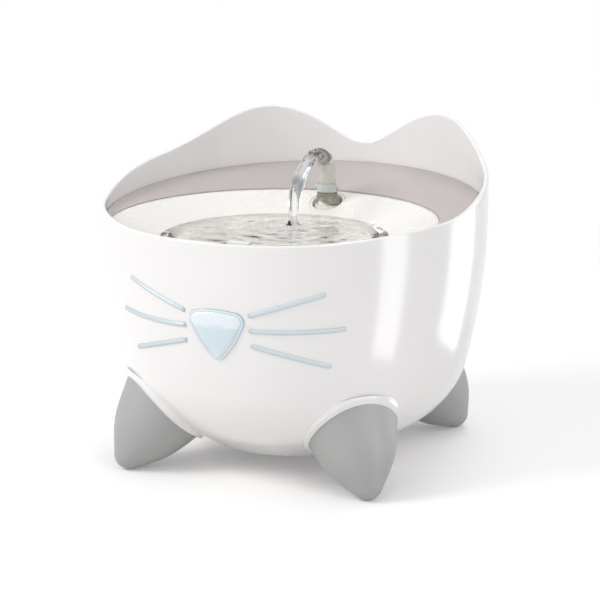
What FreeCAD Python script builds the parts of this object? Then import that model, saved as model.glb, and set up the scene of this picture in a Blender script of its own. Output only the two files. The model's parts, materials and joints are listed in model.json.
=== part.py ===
import FreeCAD, Part
import math
import os
import re
import Sketcher
from FreeCAD import Placement, Rotation, Vector

# A pet water fountain: a white bowl with two ears on four rubber feet, a lift-off tray with a pool and a
# turning spout, a filter cartridge in the tray and a small pump on the floor of the bowl.
# Millimetres, +Z up, the nose looks along -Y, and the origin is under the middle of the bowl, on the ground.

doc = FreeCAD.newDocument("water_fountain")
dims = doc.addObject("Spreadsheet::Sheet", "dims")

DIMENSIONS = {
    # bowl shell
    "shell_radius": 125.2,
    "shell_wall": 3.0,
    "shell_top": 230.0,
    "base_height": 12.2,
    "base_slope": 30.0,
    "belly_arc": 60.0,
    "flank_arc": 390.0,
    "flank_foot": 64.0,
    "wall_straight": 162.0,
    # rim height every so many degrees from the nose
    "rim_at_0": 163.5,
    "rim_at_30": 163.9,
    "rim_at_60": 167.3,
    "rim_at_77": 170.0,
    "rim_at_90": 176.0,
    "rim_at_105": 182.5,
    "rim_at_120": 190.0,
    "rim_at_134": 203.0,
    "rim_at_148": 211.5,
    "rim_at_160": 206.2,
    "rim_at_170": 194.5,
    "rim_at_180": 186.3,
    # ledge that carries the tray
    "ledge_height": 149.0,
    "ledge_depth": 4.0,
    "ledge_drop": 8.0,
    "tray_gap": 0.6,
    "rim_round": 1.2,
    # feet
    "foot_azimuth": 45.0,
    "foot_lean": 50.4,
    "foot_inset": 2.7,
    "foot_apex": 1.9,
    "foot_tip": 10.0,
    "foot_tip_half": 8.19,
    "foot_shoulder": 25.4,
    "foot_shoulder_depth": 33.0,
    "foot_cheek": 19.6,
    "foot_cheek_depth": 20.0,
    "foot_half": 31.5,
    "foot_length": 54.0,
    "foot_gap": 0.15,
    "lip_width": 2.8,
    "lip_height": 2.2,
    "peg_radius": 6.0,
    # pegs and bosses along a foot's axis, from where it meets the bowl's outer face
    "peg_start": -7.0,
    "peg_end": 9.0,
    "peg_gap": 0.1,
    "peg_end_gap": 0.4,
    "boss_radius": 9.0,
    "boss_start": -2.0,
    "boss_end": 13.0,
    # nose and whiskers
    "nose_tip_half": 4.2,
    "nose_tip_height": 92.2,
    "nose_tip_arc": 5.0,
    "nose_side_arc": 60.0,
    "nose_cheek_half": 17.0,
    "nose_cheek_drop": 9.9,
    "nose_corner_arc": 6.2,
    "nose_brow_half": 12.0,
    "nose_brow_height": 121.4,
    "nose_brow_arc": 60.0,
    "nose_proud": 2.0,
    "nose_step": 1.1,
    "nose_border": 1.6,
    "nose_recess": 1.2,
    "inlay_gap": 0.1,
    "whisker_radius": 1.6,
    "whisker_sink": 0.3,
    "whisker_gap": 0.05,
    # dish and its pool
    "dish_back": -34.0,
    "dish_radius": 104.6,
    "dish_rim_height": 160.4,
    "dish_wall": 2.5,
    "dish_lip": 2.5,
    "pool_radius": 73.0,
    "pool_height": 150.0,
    "floor_radius": 62.0,
    "floor_height": 141.0,
    "floor_arc": 20.0,
    "flange_thick": 3.5,
    "seal_height": 2.0,
    "seal_width": 2.4,
    "seal_gap": 0.1,
    "skirt_width": 5.0,
    # deck round the dish
    "deck_gap": 0.3,
    "deck_front_height": 160.9,
    "deck_back_height": 173.1,
    "deck_rise_from": -15.0,
    # spout
    "spout_back": 56.0,
    "seat_radius": 12.0,
    "seat_height": 151.0,
    "seat_depth": 6.0,
    "seat_wall": 2.5,
    "stem_radius": 6.5,
    "stem_gap": 0.1,
    "stem_drop": 10.0,
    "base_flange_radius": 8.6,
    "base_flange_thick": 3.5,
    "spigot_radius": 6.2,
    "spigot_height": 7.1,
    "turn_gap": 0.05,
    "end_gap": 0.3,
    "neck_foot_radius": 9.6,
    "neck_top_radius": 6.8,
    "neck_height": 8.0,
    "neck_roof": 1.0,
    "neck_slant": 4.4,
    "collar_radius": 7.0,
    "collar_height": 5.2,
    "collar_round": 1.0,
    "nozzle_radius": 5.5,
    "nozzle_bore": 3.9,
    "nozzle_shoulder": 6.4,
    "nozzle_shoulder_thick": 1.0,
    "nozzle_straight": 175.0,
    "nozzle_bend": 14.0,
    "nozzle_turn": 48.0,
    "lug_radius": 1.9,
    "lug_length": 1.5,
    "lug_hole": 1.1,
    "lug_hole_depth": 1.6,
    # riser and coupling
    "riser_radius": 5.0,
    "riser_bore": 3.5,
    "riser_foot": 64.0,
    "riser_top_gap": 1.0,
    "riser_gap": 0.1,
    "sleeve_radius": 7.0,
    "sleeve_foot": 53.0,
    "sleeve_top": 74.0,
    "sleeve_gap": 0.05,
    # filter
    "filter_front": -87.0,
    "filter_half": 20.0,
    "holder_radius": 15.0,
    "holder_wall": 1.6,
    "holder_top": 147.6,
    "holder_foot": 112.0,
    "holder_floor": 2.0,
    "holder_gap": 0.2,
    "holder_flange": 17.0,
    "holder_flange_thick": 1.4,
    "cup_gap": 0.4,
    "cup_wall": 1.4,
    "cup_floor": 1.6,
    "cap_radius": 14.6,
    "cap_thick": 2.2,
    "slot_width": 2.2,
    "slot_pitch": 5.0,
    "slot_half": 6.0,
    "pull_half": 7.0,
    "pull_height": 7.0,
    "pull_thick": 2.2,
    "pull_width": 5.0,
    "cotton_thick": 7.0,
    "media_gap": 0.3,
    # pump
    "pump_half": 20.0,
    "pump_front": 10.0,
    "pump_back": 50.0,
    "pump_foot": 20.0,
    "pump_top": 50.0,
    "pump_axis": 35.0,
    "pump_corner": 5.0,
    "well_radius": 8.4,
    "well_front": 20.0,
    "magnet_radius": 7.6,
    "magnet_front": 23.2,
    "magnet_back": 49.0,
    "hub_radius": 4.0,
    "blade_radius": 10.0,
    "blade_thick": 1.2,
    "blade_back": 56.5,
    "rotor_disc_thick": 1.4,
    "shaft_radius": 1.5,
    "shaft_gap": 0.05,
    "shaft_back": 59.0,
    "bush_radius": 3.6,
    "bush_depth": 2.4,
    "cover_radius": 15.0,
    "cover_back": 61.6,
    "chamber_radius": 11.4,
    "chamber_back": 57.5,
    "inlet_radius": 7.9,
    "inlet_rib": 2.0,
    "nipple_radius": 5.0,
    "nipple_bore": 3.5,
    "nipple_top": 62.0,
    "strainer_half": 14.0,
    "strainer_lift": 3.0,
    "strainer_height": 22.0,
    "strainer_depth": 7.0,
    "strainer_wall": 1.6,
    "strainer_gap": 0.3,
    "strainer_slot": 2.0,
    "strainer_pitch": 4.4,
    "foam_thick": 4.2,
    "slider_long": 14.0,
    "slider_tall": 5.0,
    "slider_thick": 1.6,
    "slider_left": -11.0,
    "rail_tall": 1.6,
    "gland_radius": 5.0,
    "gland_tip": 3.4,
    "gland_length": 8.0,
    "gland_bore": 2.2,
    "window_radius": 5.0,
    "window_depth": 1.2,
    "window_front": 22.0,
    "cup_radius": 7.0,
    "cup_neck": 2.5,
    "cup_across": 13.0,
    "cup_first": 17.0,
    "cup_second": 41.0,
    "cup_plug": 3.0,
    # grommet for the lead
    "grommet_height": 140.0,
    "grommet_radius": 5.0,
    "grommet_flange": 7.6,
    "grommet_flange_thick": 1.4,
    "grommet_bore": 2.6,
    "grommet_gap": 0.1,
    "grommet_groove_gap": 0.3,
}

for row, (alias, number) in enumerate(DIMENSIONS.items(), start=1):
    dims.set(f"A{row}", alias)
    dims.set(f"B{row}", str(number))
    dims.setAlias(f"B{row}", alias)
doc.recompute()

NODES = {}
PLAIN = Rotation()
ALONG_Y = Rotation(Vector(1, 0, 0), -90)
ALONG_X = Rotation(Vector(0, 1, 0), 90)


# Expressions

def linked(expression):
    # the same expression with each alias read from the sheet
    return re.sub(r"[a-z][a-z_0-9]*", lambda m: f"dims.{m[0]}" if m[0] in DIMENSIONS else m[0], str(expression))


def measure(expression):
    found = dims.evalExpression(linked(expression))
    return float(getattr(found, "Value", found))


def bind(item, prop, expression):
    if str(expression) != "0":
        item.setExpression(prop, linked(expression))


def put(item, x="0", y="0", z="0", turned=PLAIN):
    item.Placement = Placement(Vector(measure(x), measure(y), measure(z)), turned)
    bind(item, "Placement.Base.x", x)
    bind(item, "Placement.Base.y", y)
    bind(item, "Placement.Base.z", z)
    return item


# Solids

def keep(node, item):
    item.Label = node
    NODES[node] = item
    return item


def cylinder(name, radius, height, x="0", y="0", z="0", turned=PLAIN):
    item = doc.addObject("Part::Cylinder", name)
    bind(item, "Radius", radius)
    bind(item, "Height", height)
    return put(item, x, y, z, turned)


def block(name, wide, deep, tall, x="0", y="0", z="0"):
    item = doc.addObject("Part::Box", name)
    bind(item, "Length", wide)
    bind(item, "Width", deep)
    bind(item, "Height", tall)
    return put(item, x, y, z)


def fuse(name, *items):
    item = doc.addObject("Part::MultiFuse", name)
    item.Shapes = list(items)
    item.Refine = True
    return item


def common(name, *items):
    item = doc.addObject("Part::MultiCommon", name)
    item.Shapes = list(items)
    return item


def cut(name, base, *tools):
    item = doc.addObject("Part::Cut", name)
    item.Base = base
    item.Tool = tools[0] if len(tools) == 1 else fuse(name + "_tools", *tools)
    return item


def drawn(name, shape):
    item = doc.addObject("Part::Feature", name)
    item.Shape = shape
    return item


def arc_edge(start, end, radius, side):
    # the arc of that radius whose centre lies left (side 1) or right (side -1) of the way from start to end
    chord = end - start
    left = Vector(-chord.y, chord.x, 0).normalize()
    rise = math.sqrt(max(radius ** 2 - (chord.Length / 2) ** 2, 0))
    centre = start + chord * 0.5 + left * side * rise
    first, last = (start, end) if side > 0 else (end, start)
    turn_from = math.atan2(first.y - centre.y, first.x - centre.x)
    turn_to = math.atan2(last.y - centre.y, last.x - centre.x)
    if turn_to < turn_from:
        turn_to += 2 * math.pi
    return Part.ArcOfCircle(Part.Circle(centre, Vector(0, 0, 1), radius), turn_from, turn_to)


def sketch_on(body, name, plane, offset="0"):
    sketch = body.newObject("Sketcher::SketchObject", name)
    sketch.AttachmentSupport = [([f for f in body.Origin.OriginFeatures if f.Role == plane][0], "")]
    sketch.MapMode = "FlatFace"
    bind(sketch, "AttachmentOffset.Base.z", offset)
    return sketch


def hold(sketch, name, constraint, expression):
    index = sketch.addConstraint(constraint)
    sketch.renameConstraint(index, name)
    sketch.setExpression(f"Constraints.{name}", linked(expression))


def outline(body, name, plane, corners, arcs=None, offset="0"):
    # a closed outline: corners are pairs of expressions, and arcs gives (radius, side) for the edge that
    # leaves that corner
    arcs = arcs or {}
    sketch = sketch_on(body, name, plane, offset)
    points = [Vector(measure(x), measure(y), 0) for x, y in corners]
    starts = []
    for i, point in enumerate(points):
        following = points[(i + 1) % len(points)]
        if i in arcs:
            radius, side = arcs[i]
            sketch.addGeometry(arc_edge(point, following, measure(radius), side))
            starts.append(1 if side > 0 else 2)
        else:
            sketch.addGeometry(Part.LineSegment(point, following))
            starts.append(1)
    for i, (x, y) in enumerate(corners):
        after = (i + 1) % len(corners)
        sketch.addConstraint(Sketcher.Constraint("Coincident", i, 3 - starts[i], after, starts[after]))
        if str(x) == "0":
            sketch.addConstraint(Sketcher.Constraint("PointOnObject", i, starts[i], -2))
        else:
            hold(sketch, f"across_{i}", Sketcher.Constraint("DistanceX", -1, 1, i, starts[i], points[i].x), x)
        if str(y) == "0":
            sketch.addConstraint(Sketcher.Constraint("PointOnObject", i, starts[i], -1))
        else:
            hold(sketch, f"up_{i}", Sketcher.Constraint("DistanceY", -1, 1, i, starts[i], points[i].y), y)
        if i in arcs:
            hold(sketch, f"round_{i}", Sketcher.Constraint("Radius", i, measure(arcs[i][0])), arcs[i][0])
    return sketch


def turned_body(name, corners, arcs=None, y="0"):
    # a body of revolution about its own vertical axis
    body = doc.addObject("PartDesign::Body", name)
    sketch = outline(body, name + "_profile", "XZ_Plane", corners, arcs)
    turn = body.newObject("PartDesign::Revolution", name + "_turn")
    turn.Profile = sketch
    turn.ReferenceAxis = (sketch, ["V_Axis"])
    turn.Angle = 360
    return put(body, y=y)


def padded_body(name, plane, corners, length, arcs=None, offset="0", x="0", y="0", z="0", back=False):
    body = doc.addObject("PartDesign::Body", name)
    sketch = outline(body, name + "_profile", plane, corners, arcs, offset)
    pad = body.newObject("PartDesign::Pad", name + "_pad")
    pad.Profile = sketch
    bind(pad, "Length", length)
    pad.Reversed = back
    return put(body, x, y, z)


def long_round(name, radius, half, height, y, z):
    # an upright prism with two half-round ends, lying along X
    return fuse(
        name,
        cylinder(name + "_left", radius, height, f"-({half})", y, z),
        cylinder(name + "_right", radius, height, half, y, z),
        block(name + "_middle", f"2 * ({half})", f"2 * ({radius})", height, f"-({half})", f"({y}) - ({radius})", z),
    )


# Bowl shell

FLANK_TURN = "asin((wall_straight - flank_foot) / flank_arc)"
BELLY_X = f"(shell_radius - flank_arc + (flank_arc - belly_arc) * cos({FLANK_TURN}))"
BELLY_Z = f"(wall_straight - (flank_arc - belly_arc) * sin({FLANK_TURN}))"


def envelope(name, grown):
    # the outer form of the bowl, moved outwards by so much
    belly_foot_x = f"{BELLY_X} + (belly_arc + {grown}) * sin(base_slope)"
    belly_foot_z = f"{BELLY_Z} - (belly_arc + {grown}) * cos(base_slope)"
    flank_foot_x = f"{BELLY_X} + (belly_arc + {grown}) * cos({FLANK_TURN})"
    flank_foot_z = f"{BELLY_Z} - (belly_arc + {grown}) * sin({FLANK_TURN})"
    base_z = f"base_height - ({grown})"
    base_x = f"{belly_foot_x} - ({belly_foot_z} - ({base_z})) / tan(base_slope)"
    corners = [
        ("0", base_z),
        (base_x, base_z),
        (belly_foot_x, belly_foot_z),
        (flank_foot_x, flank_foot_z),
        (f"shell_radius + {grown}", "wall_straight"),
        (f"shell_radius + {grown}", "shell_top"),
        ("0", "shell_top"),
    ]
    arcs = {2: (f"belly_arc + {grown}", 1), 3: (f"flank_arc + {grown}", 1)}
    return turned_body(name, corners, arcs)


def around(radius, degrees, height):
    # a point at that angle from the nose, positive toward +X
    angle = math.radians(degrees)
    return Vector(radius * math.sin(angle), -radius * math.cos(angle), height)


def smooth_ring(points):
    curve = Part.BSplineCurve()
    curve.interpolate(Points=points, PeriodicFlag=True)
    return curve.toShape()


def rim_cutter():
    stations = sorted(int(alias[len("rim_at_"):]) for alias in DIMENSIONS if alias.startswith("rim_at_"))
    half = [(degrees, measure(f"rim_at_{degrees}")) for degrees in stations]
    mirrored = [(-degrees, height) for degrees, height in reversed(half[1:-1])]
    beyond = 8.0
    inside = measure("shell_radius - shell_wall - ledge_depth") - beyond
    outside = measure("shell_radius") + beyond
    inner = smooth_ring([around(inside, degrees, height) for degrees, height in half + mirrored])
    outer = smooth_ring([around(outside, degrees, height) for degrees, height in half + mirrored])
    face = Part.makeRuledSurface(inner, outer)
    return drawn("rim_cutter", face.extrude(Vector(0, 0, measure("shell_top"))))


def foot_place(azimuth):
    tilt = Rotation(Vector(1, 0, 0), measure("foot_lean") - 90)
    apex = around(measure("shell_radius - foot_inset"), azimuth, measure("foot_apex"))
    return Placement(apex, Rotation(Vector(0, 0, 1), azimuth) * tilt)


FOOT_TIP_DEPTH = "(foot_tip - sqrt(foot_tip ^ 2 - foot_tip_half ^ 2))"


def foot_form(name, azimuth, grown="0"):
    # a ball tip whose sides widen in one smooth sweep, turned about the foot's own axis
    tip = measure("foot_tip")
    half_lean = math.asin(measure("foot_tip_half / foot_tip")) / 2
    tip_end = Vector(measure("foot_tip_half"), 0, measure(FOOT_TIP_DEPTH))
    tip_middle = Vector(tip * math.sin(half_lean), 0, tip * (1 - math.cos(half_lean)))
    wide = [("foot_cheek", "foot_cheek_depth"), ("foot_shoulder", "foot_shoulder_depth"), ("foot_half", "foot_length")]
    passes = [tip_end] + [Vector(measure(f"{half} + {grown}"), 0, measure(depth)) for half, depth in wide]
    leaving = Vector(math.cos(2 * half_lean), 0, math.sin(2 * half_lean)) * 14
    arriving = Vector(6.5, 0, 21).normalize() * 21
    sweep = Part.BSplineCurve()
    sweep.interpolate(Points=passes, InitialTangent=leaving, FinalTangent=arriving)
    apex = Vector()
    top = Vector(0, 0, passes[-1].z)
    edges = [Part.Arc(apex, tip_middle, tip_end).toShape(), sweep.toShape(), Part.makeLine(passes[-1], top)]
    profile = Part.Face(Part.Wire(edges + [Part.makeLine(top, apex)]))
    form = drawn(name, profile.revolve(apex, Vector(0, 0, 1), 360))
    form.Placement = foot_place(azimuth)
    return form


def foot_seat():
    # how far along a foot's axis the bowl's outer face lies
    across = measure(f"shell_radius - foot_inset - {BELLY_X}")
    up = measure(f"foot_apex - {BELLY_Z}")
    along = measure("cos(foot_lean)") * across - measure("sin(foot_lean)") * up
    return along - math.sqrt(along ** 2 - across ** 2 - up ** 2 + measure("belly_arc") ** 2)


def foot_rod(name, azimuth, radius, start, end):
    rod = doc.addObject("Part::Cylinder", name)
    bind(rod, "Radius", radius)
    bind(rod, "Height", f"{end} - ({start})")
    place = foot_place(azimuth)
    rod.Placement = Placement(place.multVec(Vector(0, 0, foot_seat() + measure(start))), place.Rotation)
    return rod


FEET = {
    "front_left_foot": "-foot_azimuth",
    "front_right_foot": "foot_azimuth",
    "rear_right_foot": "180 - foot_azimuth",
    "rear_left_foot": "foot_azimuth - 180",
}


def feet():
    outside = envelope("foot_trim", "foot_gap")
    ground = block("ground", 400, 400, 20, -200, -200, -20)
    for node, azimuth_size in FEET.items():
        azimuth = measure(azimuth_size)
        cone = cut(node + "_trimmed", foot_form(node + "_cone", azimuth), outside, ground)
        peg = foot_rod(node + "_peg", azimuth, "peg_radius", "peg_start", "peg_end")
        keep(node, fuse(node + "_solid", cone, peg))


# Nose and whiskers: start, middle and end of each strip as (degrees from the nose, height)
WHISKERS = {
    "upper": [(10.4, 120.2), (20.7, 126.8), (31.0, 133.2)],
    "middle": [(10.5, 110.4), (23.0, 110.0), (37.0, 111.0)],
    "lower": [(10.8, 100.6), (21.0, 94.6), (33.0, 87.5)],
}


def bowl_radius(height):
    # outer radius of the bowl at a height on its flank
    drop = measure("wall_straight") - height
    return measure("shell_radius - flank_arc") + math.sqrt(measure("flank_arc") ** 2 - max(drop, 0) ** 2)


def whisker_shape(points):
    radius = measure("whisker_radius")
    sink = measure("whisker_sink")
    start, middle, end = [around(bowl_radius(z) - sink, degrees, z) for degrees, z in points]
    path = Part.Arc(start, middle, end).toShape()
    circle = Part.Wire(Part.Circle(start, path.tangentAt(path.FirstParameter), radius).toShape())
    rod = Part.Wire(path).makePipeShell([circle], True, True)
    caps = [
        Part.makeSphere(radius, start, path.tangentAt(path.FirstParameter) * -1, 0, 90, 360),
        Part.makeSphere(radius, end, path.tangentAt(path.LastParameter), 0, 90, 360),
    ]
    return rod.fuse(caps)


def whiskers():
    # rounded strips that lie on the bowl, with their backs shaped to it
    face = envelope("whisker_face", "whisker_gap")
    for level, points in WHISKERS.items():
        rod = drawn(level + "_rod", whisker_shape(points))
        strip = keep(f"right_{level}_whisker", cut(f"right_{level}", rod, face))
        twin = doc.addObject("Part::Mirroring", f"left_{level}")
        twin.Source = strip
        twin.Normal = Vector(1, 0, 0)
        keep(f"left_{level}_whisker", twin)


def nose_prism(name, gap):
    corners = [
        (f"nose_tip_half + {gap}", "nose_tip_height"),
        (f"nose_cheek_half + {gap}", "nose_brow_height - nose_cheek_drop"),
        (f"nose_brow_half + {gap}", f"nose_brow_height + {gap}"),
        (f"-nose_brow_half - {gap}", f"nose_brow_height + {gap}"),
        (f"-nose_cheek_half - {gap}", "nose_brow_height - nose_cheek_drop"),
        (f"-nose_tip_half - {gap}", "nose_tip_height"),
    ]
    arcs = {
        0: ("nose_side_arc", 1),
        1: ("nose_corner_arc", 1),
        2: ("nose_brow_arc", 1),
        3: ("nose_corner_arc", 1),
        4: ("nose_side_arc", 1),
        5: (f"nose_tip_arc + {gap}", 1),
    }
    return padded_body(name, "XZ_Plane", corners, "shell_radius + 20", arcs)


def nose():
    # a lens with a lower border all round
    border = common("nose_low", nose_prism("nose_outline", "0"), envelope("nose_border_face", "nose_proud - nose_step"))
    middle = common("nose_high", nose_prism("nose_middle", "-nose_border"), envelope("nose_front", "nose_proud"))
    back = envelope("nose_back", "-nose_recess + inlay_gap")
    keep("nose_lens", cut("nose_solid", fuse("nose_blank", border, middle), back))


def ledge():
    # a ring inside the wall, flat on top and sloped below
    wall_x = "shell_radius - shell_wall / 2"
    edge_x = "shell_radius - shell_wall - ledge_depth"
    corners = [
        (edge_x, "ledge_height"),
        (edge_x, "ledge_height - 2"),
        (wall_x, "ledge_height - ledge_drop"),
        (wall_x, "ledge_height"),
    ]
    return turned_body("ledge", corners)


def shell():
    outside = envelope("bowl_outside", "0")
    hollow = envelope("bowl_hollow", "-shell_wall")
    lip_outside = envelope("lip_outside", "lip_height")
    recess_floor = envelope("recess_floor", "-nose_recess")
    wall = cut("bowl_wall", outside, hollow)
    bosses = []
    sockets = []
    lips = []
    for node, azimuth_size in FEET.items():
        azimuth = measure(azimuth_size)
        bosses.append(foot_rod(node + "_boss", azimuth, "boss_radius", "boss_start", "boss_end"))
        lips.append(foot_form(node + "_lip", azimuth, "lip_width"))
        sockets.append(foot_rod(node + "_hole", azimuth, "peg_radius + peg_gap", "peg_start", "peg_end + peg_end_gap"))
    inner_bosses = common("inner_bosses", fuse("bosses", *bosses), outside)
    collars = common("collars", fuse("lips", *lips), cut("lip_layer", lip_outside, hollow))
    cones = [foot_form(node + "_clear", measure(azimuth), "foot_gap") for node, azimuth in FEET.items()]
    foot_room = cut("foot_room", fuse("foot_cones", *cones), outside)
    nose_room = cut("nose_room", nose_prism("nose_recess_outline", "inlay_gap"), recess_floor)
    ledge_gap = block("ledge_gap", "2 * grommet_flange + 2", 20, "ledge_drop + 4", "-grommet_flange - 1",
                      "shell_radius - shell_wall - 19.5", "ledge_height - ledge_drop - 3")
    solid = fuse("bowl_solid", wall, ledge_with_gap(ledge_gap), inner_bosses, collars)
    shaped = cut("bowl_shaped", solid, rim_cutter())
    sharp = cut("bowl", shaped, foot_room, *sockets, nose_room, *grommet_rooms())
    keep("outer_shell", rounded_rim(sharp))


def rounded_rim(sharp):
    # the wavy edges of the rim, inside and outside
    doc.recompute()
    radius = measure("rim_round")
    rounded = []
    for index, edge in enumerate(sharp.Shape.Edges, start=1):
        if edge.BoundBox.ZMin > measure("wall_straight") and edge.BoundBox.ZLength > 1:
            rounded.append((index, radius, radius))
    item = doc.addObject("Part::Fillet", "rounded_rim")
    item.Base = sharp
    item.Edges = rounded
    return item


def ledge_with_gap(gap):
    return cut("ledge_open", ledge(), gap)


GROMMET_WALL = "(shell_radius - flank_arc + sqrt(flank_arc ^ 2 - (wall_straight - grommet_height) ^ 2))"


def across_wall(name, radius, start, end):
    return cylinder(name, radius, f"({end}) - ({start})", "0", start, "grommet_height", ALONG_Y)


def grommet_rooms():
    # a hole through the rear wall, with a shallow counterbore for the outer flange
    seat = f"{GROMMET_WALL} - grommet_flange_thick"
    hole = across_wall("grommet_hole", "grommet_radius + grommet_gap", f"{GROMMET_WALL} - 10", f"{GROMMET_WALL} + 10")
    counterbore = across_wall("grommet_seat", "grommet_flange + grommet_gap", seat, f"{GROMMET_WALL} + 10")
    return hole, counterbore


def grommet():
    seat = f"{GROMMET_WALL} - grommet_flange_thick"
    inner = f"{GROMMET_WALL} - shell_wall - grommet_groove_gap"
    core = across_wall("grommet_core", "grommet_radius", inner, seat)
    blank = across_wall("grommet_inside_blank", "grommet_flange", f"{inner} - grommet_flange_thick", GROMMET_WALL)
    inside = common("grommet_inside", blank, envelope("grommet_trim", "-shell_wall - grommet_groove_gap"))
    outside = across_wall("grommet_outside", "grommet_flange", seat, f"{GROMMET_WALL} - grommet_gap")
    bore = across_wall("grommet_way", "grommet_bore", f"{inner} - 5", f"{GROMMET_WALL} + 5")
    keep("cable_grommet", cut("grommet_solid", fuse("grommet_blank", core, inside, outside), bore))


# Tray

TRAY_RADIUS = "(shell_radius - shell_wall - tray_gap)"


def dish():
    corners = [
        ("0", "floor_height"),
        ("floor_radius", "floor_height"),
        ("pool_radius", "pool_height"),
        ("dish_radius - dish_lip", "dish_rim_height"),
        ("dish_radius", "dish_rim_height"),
        ("dish_radius", "ledge_height + flange_thick"),
        ("dish_radius + 60", "ledge_height + flange_thick"),
        ("dish_radius + 60", "ledge_height"),
        ("dish_radius - dish_wall", "ledge_height"),
        ("dish_radius - dish_wall", "dish_rim_height - dish_wall - 1"),
        ("pool_radius + 1", "pool_height - dish_wall"),
        ("floor_radius + 1", "floor_height - dish_wall"),
        ("0", "floor_height - dish_wall"),
    ]
    pan = turned_body("dish_pan", corners, {1: ("floor_arc", 1), 10: ("floor_arc + dish_wall", -1)}, y="dish_back")
    skirt_ring = cut(
        "skirt_ring",
        cylinder("skirt_out", f"{TRAY_RADIUS}", "flange_thick + 1.5", z="ledge_height"),
        cylinder("skirt_in", f"{TRAY_RADIUS} - skirt_width", 20, z="ledge_height - 5"),
    )
    under_rim = cylinder("under_rim", "dish_radius - 0.5", 20, "0", "dish_back", "ledge_height - 5")
    skirt = common("dish_skirt", skirt_ring, under_rim)
    seat_post = cylinder("seat_post", "seat_radius + seat_wall", 30, "0", "spout_back", "seat_height - seat_depth")
    seat_top = [
        ("0", "floor_height - 20"),
        ("dish_radius", "floor_height - 20"),
        ("dish_radius", "dish_rim_height"),
        ("dish_radius - dish_lip", "dish_rim_height"),
        ("pool_radius", "pool_height"),
        ("0", "pool_height"),
    ]
    seat = common("spout_seat", seat_post, turned_body("seat_top", seat_top, y="dish_back"))
    whole = common(
        "dish_trimmed",
        fuse("dish_blank", pan, skirt, seat),
        cylinder("dish_limit", f"{TRAY_RADIUS}", 60, z="floor_height - 20"),
    )
    face = cylinder("seat_face", "seat_radius", 20, "0", "spout_back", "seat_height")
    stem = cylinder("stem_hole", "stem_radius + stem_gap", 60, "0", "spout_back", "seat_height - 40")
    rebate = cut(
        "seal_rebate",
        cylinder("rebate_out", "shell_radius", "seal_height", z="ledge_height"),
        cylinder("rebate_in", f"{TRAY_RADIUS} - seal_width", 20, z="ledge_height - 5"),
    )
    well = long_round("well_hole", "holder_radius + holder_gap", "filter_half", 30, "filter_front", "floor_height - 15")
    keep("drinking_dish", cut("dish_solid", whole, face, stem, rebate, well))


def seal():
    ring = cut(
        "seal_ring",
        cylinder("seal_out", f"{TRAY_RADIUS}", "seal_height - seal_gap", z="ledge_height"),
        cylinder("seal_in", f"{TRAY_RADIUS} - seal_width + seal_gap", 20, z="ledge_height - 5"),
    )
    keep("tray_seal", ring)


def deck_height(y):
    low = measure("deck_front_height")
    rise_from = measure("deck_rise_from")
    share = max(y - rise_from, 0) / (measure(TRAY_RADIUS) - rise_from)
    return low + (measure("deck_back_height") - low) * share


def deck():
    # the top slopes from the dish's edge up to the wall, so it is ruled between those two edges
    outer_radius = measure("shell_radius + 2")
    inner_radius = measure("dish_radius - 2")
    centre = measure("dish_back")
    low = measure("deck_front_height")
    stations = range(40, 321, 20)
    outer_points = [around(outer_radius, a, 0) for a in stations]
    outer_points = [Vector(p.x, p.y, deck_height(p.y)) for p in outer_points]
    inner_points = [around(inner_radius, a, low) + Vector(0, centre, 0) for a in stations]
    outer = Part.BSplineCurve()
    outer.interpolate(outer_points)
    inner = Part.BSplineCurve()
    inner.interpolate(inner_points)
    above = drawn("deck_cutter", Part.makeRuledSurface(inner.toShape(), outer.toShape()).extrude(Vector(0, 0, 60)))
    blank = cylinder("deck_blank", f"{TRAY_RADIUS}", "deck_back_height - ledge_height - flange_thick",
                     z="ledge_height + flange_thick")
    hole = cylinder("deck_hole", "dish_radius + deck_gap", 80, "0", "dish_back", "ledge_height - 10")
    keep("tray_deck", cut("deck_solid", cut("deck_open", blank, hole), above))


# Spout

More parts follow.
